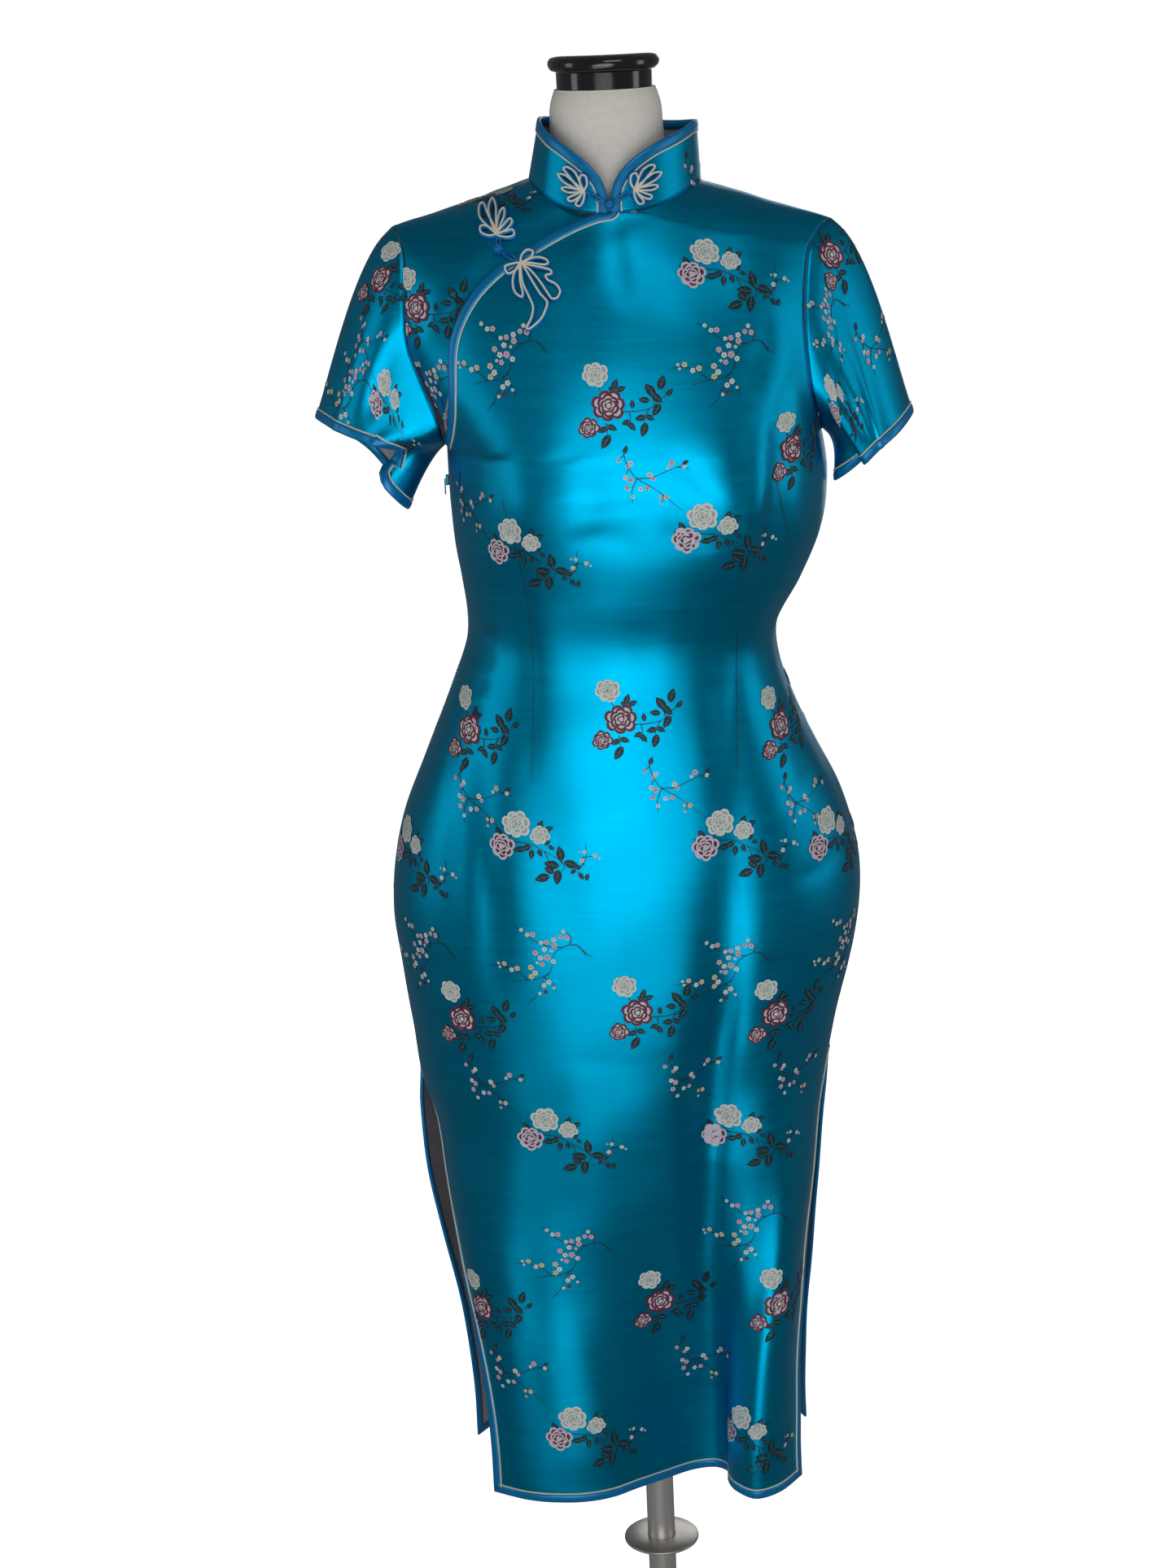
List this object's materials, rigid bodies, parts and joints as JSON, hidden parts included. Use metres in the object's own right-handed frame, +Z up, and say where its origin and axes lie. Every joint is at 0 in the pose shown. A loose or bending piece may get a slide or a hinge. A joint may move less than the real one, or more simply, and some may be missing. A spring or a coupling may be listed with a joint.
{
  "type": "short-sleeved brocade qipao dress on a limbless dress form with its neck cap, pole and round base",
  "caption": "Slim high-collared dress with short sleeves, slanted front opening, side zip and side slits, stood on a padded dress form with pole and round base.",
  "frame": {"origin": "centre of the round base's underside, on the floor under the pole's axis", "axes": "+Z up along the pole, the front of the dress faces -Y, +X towards the wearer's left"},
  "size_m": [0.4872, 0.36, 1.494],
  "materials": {
    "turquoise_satin": "satin brocade",
    "blue_binding": "satin",
    "cream_piping": "satin",
    "blue_cord": "satin cord",
    "zip_metal": "painted",
    "linen": "plain weave",
    "gloss_black": "gloss",
    "brushed_steel": "brushed",
    "dark_steel": "satin"
  },
  "bodies": {
    "dress_and_form": {"front_panel": "turquoise_satin", "back_panel": "turquoise_satin", "right_yoke": "turquoise_satin", "right_sleeve": "turquoise_satin", "left_sleeve": "turquoise_satin", "collar": "turquoise_satin", "collar_binding": "blue_binding", "collar_piping": "cream_piping", "placket_binding": "blue_binding", "placket_piping": "cream_piping", "front_hem_binding": "blue_binding", "front_hem_piping": "cream_piping", "back_hem_binding": "blue_binding", "back_hem_piping": "cream_piping", "right_sleeve_binding": "blue_binding", "right_sleeve_piping": "cream_piping", "left_sleeve_binding": "blue_binding", "left_sleeve_piping": "cream_piping", "frog_placket_lower": "blue_cord", "frog_placket_upper": "blue_cord", "frog_collar_right": "blue_cord", "frog_collar_left": "blue_cord", "knot_placket": "blue_cord", "knot_collar": "blue_cord", "zip_slider": "zip_metal", "form_torso": "linen", "neck_cap": "gloss_black", "pole": "brushed_steel", "pole_flange": "dark_steel", "base_plate": "dark_steel"},
    "pull_tab": {"zip_pull_tab": "zip_metal"}
  },
  "joints": [
    {"name": "pull_tab_swing", "type": "hinge", "parent": "dress_and_form", "child": "pull_tab", "pos_m": [-0.14284, 0, 1.161], "axis": [0, 1, 0], "range_deg": [0, 75]}
  ]
}
